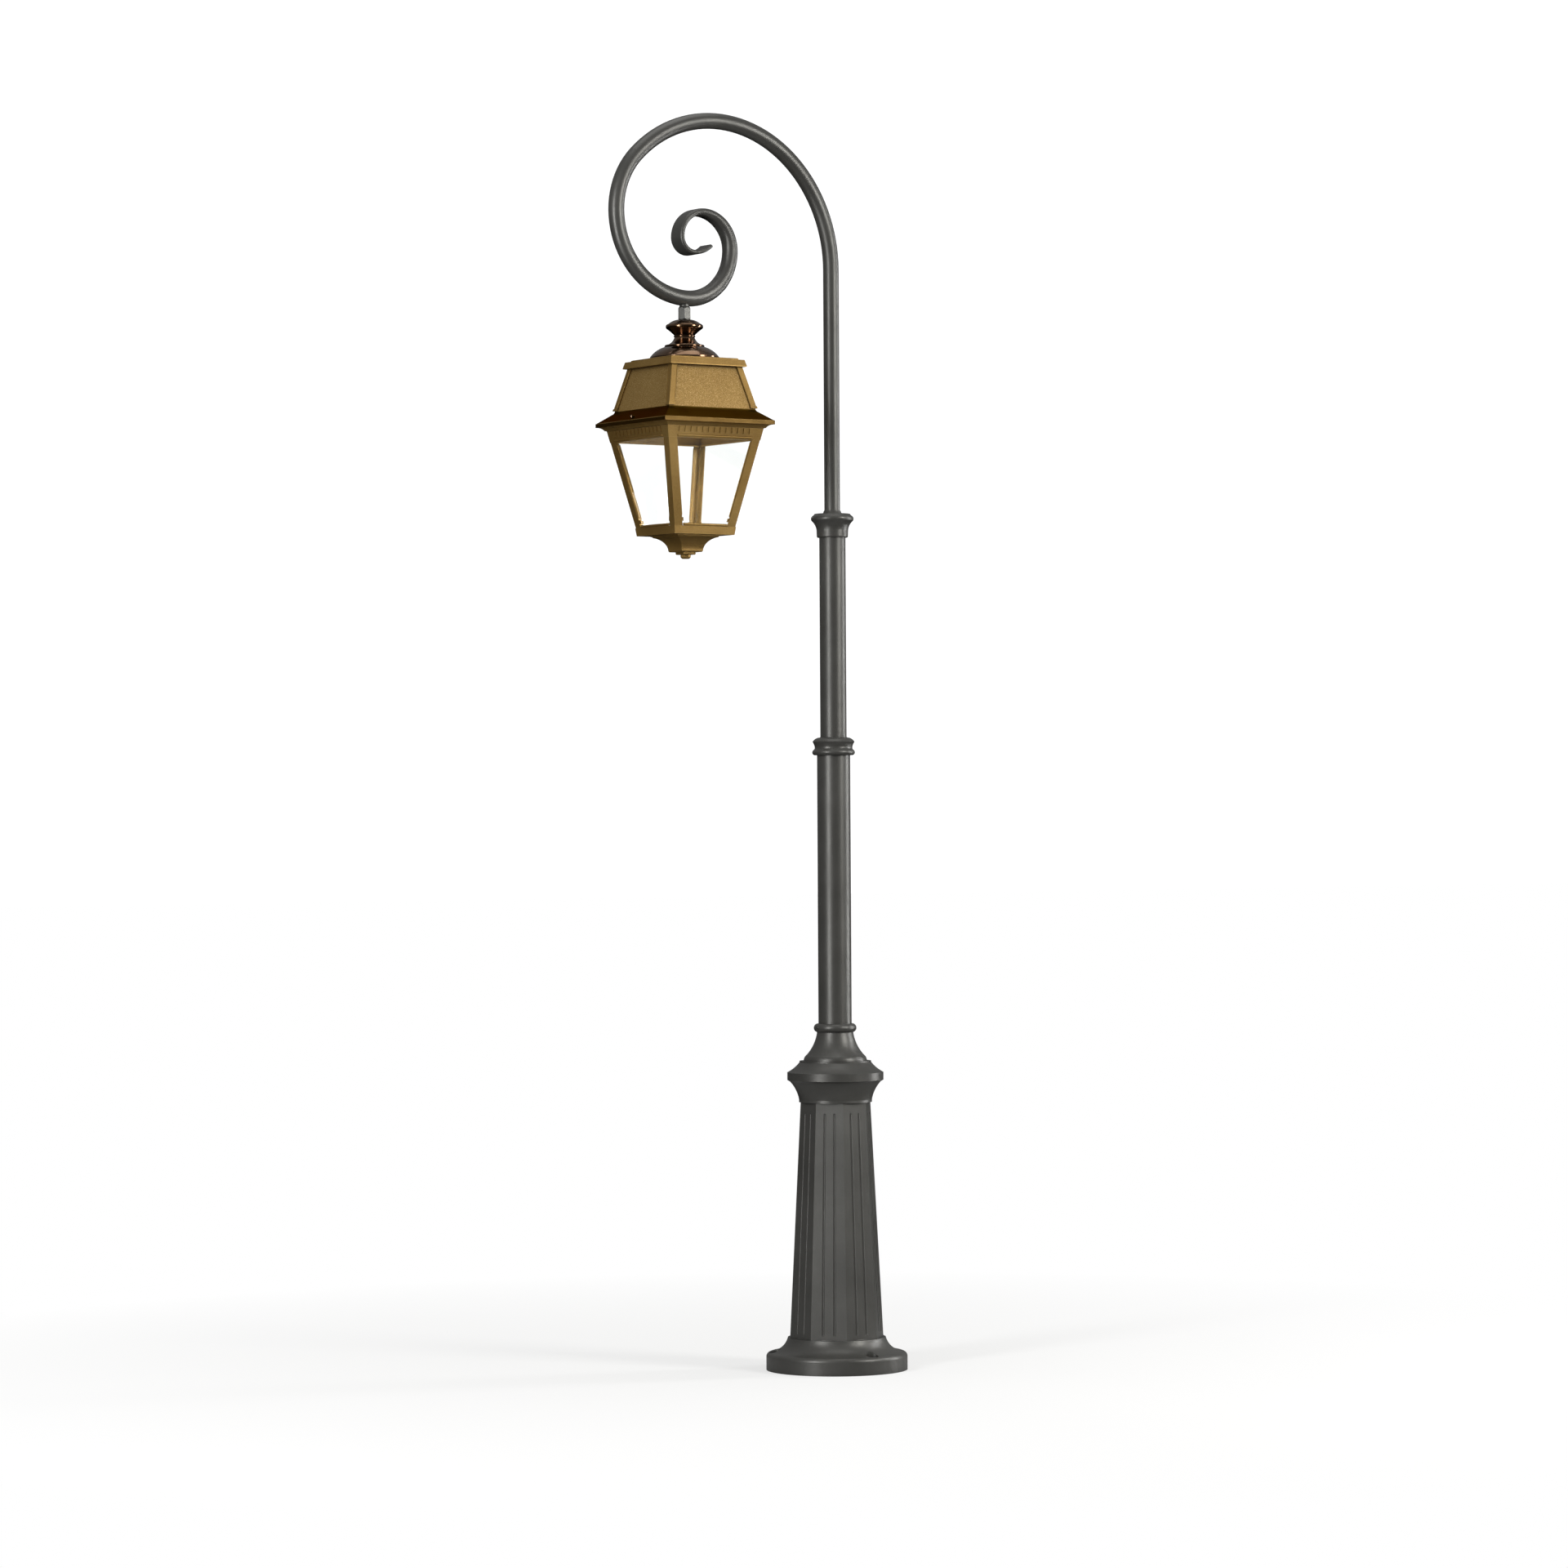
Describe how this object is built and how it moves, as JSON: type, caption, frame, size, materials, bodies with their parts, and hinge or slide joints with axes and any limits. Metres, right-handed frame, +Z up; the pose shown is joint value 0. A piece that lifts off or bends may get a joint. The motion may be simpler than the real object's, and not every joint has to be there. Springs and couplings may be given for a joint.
{
  "type": "street lamp post",
  "caption": "Street lamp post with a bell foot, fluted octagonal plinth, stepped tube shaft and a scroll arm carrying a hanging square glazed lantern.",
  "frame": {"origin": "centre of the anchor circle on the underside of the foot, at ground level", "axes": "+Z up along the post, -X towards the lantern, Y across the plane of the scroll"},
  "size_m": [0.7586, 0.323, 2.8518],
  "materials": {
    "post_paint": "fine sand-texture anthracite powder coat, satin",
    "lantern_paint": "old-gold bronze textured powder coat",
    "skirt_paint": "dark brown satin bronze",
    "copper": "polished aged copper-bronze",
    "inner_metal": "plain mill finish",
    "steel": "zinc-plated fastener",
    "glazing": "clear float glass",
    "diffuser": "opal diffuser",
    "box_plastic": "grey moulded enclosure",
    "cable_sheath": "black rubber sheath",
    "gasket": "black foam rubber seal",
    "board": "white solder mask",
    "chips": "yellow phosphor packages"
  },
  "bodies": {
    "base": {"base_flange": "post_paint", "plinth_shaft": "post_paint", "plinth_capital": "post_paint", "plinth_neck": "post_paint", "neck_set_screws": "steel", "gear_tray": "inner_metal", "earth_stud": "steel", "junction_box": "box_plastic", "junction_box_lid": "box_plastic", "terminal_strip": "box_plastic", "junction_box_gland": "box_plastic"},
    "post": {"lower_tube": "post_paint", "mid_collar": "post_paint", "upper_tube": "post_paint", "top_collar": "post_paint", "scroll_arm": "post_paint", "hanger_coupling": "post_paint", "hanger_stem": "steel", "stem_nut": "steel", "stem_washer": "steel", "supply_cable": "cable_sheath"},
    "lantern_head": {"finial_upper": "copper", "finial_lower": "copper", "cap_plate": "lantern_paint", "cap_band": "lantern_paint", "roof_shell": "lantern_paint", "roof_hip_strips": "lantern_paint", "eave_skirt": "skirt_paint", "skirt_soffit": "lantern_paint", "soffit_plate": "lantern_paint", "led_board": "board", "led_chips": "chips", "led_lens": "diffuser", "board_screws": "steel", "driver": "box_plastic", "driver_lead": "cable_sheath", "lamp_connector": "box_plastic", "roof_hinge_knuckles": "lantern_paint", "cage_hinge_pin": "steel"},
    "cage": {"cage_hinge_knuckle": "lantern_paint", "cornice": "lantern_paint", "cage_gasket": "gasket", "catch_tab": "lantern_paint", "corner_posts": "lantern_paint", "glazing_beads_top": "lantern_paint", "glazing_beads_bottom": "lantern_paint", "glass_clips": "lantern_paint", "bottom_frame": "lantern_paint", "bottom_pan": "lantern_paint", "pan_plate": "lantern_paint", "pan_knob": "lantern_paint", "pan_nut": "steel", "glass_pane_street": "glazing", "glass_pane_left": "glazing", "glass_pane_post": "glazing", "glass_pane_right": "glazing"},
    "screw": {"closing_screw": "copper", "closing_nut": "steel"}
  },
  "joints": [
    {"name": "post_swivel", "type": "hinge", "parent": "base", "child": "post", "pos_m": [0, 0, 0.75], "axis": [0, 0, 1], "range_deg": [-180, 180]},
    {"name": "lantern_swivel", "type": "hinge", "parent": "post", "child": "lantern_head", "pos_m": [-0.4, 0, 2.33], "axis": [0, 0, 1], "range_deg": [-180, 180]},
    {"name": "cage_hinge", "type": "hinge", "parent": "lantern_head", "child": "cage", "pos_m": [-0.2675, 0, 2.129], "axis": [0, -1, 0], "range_deg": [0, 50]},
    {"name": "closing_screw_turn", "type": "hinge", "parent": "lantern_head", "child": "screw", "pos_m": [-0.53, 0, 2.158], "axis": [-1, 0, 0], "continuous": true}
  ]
}
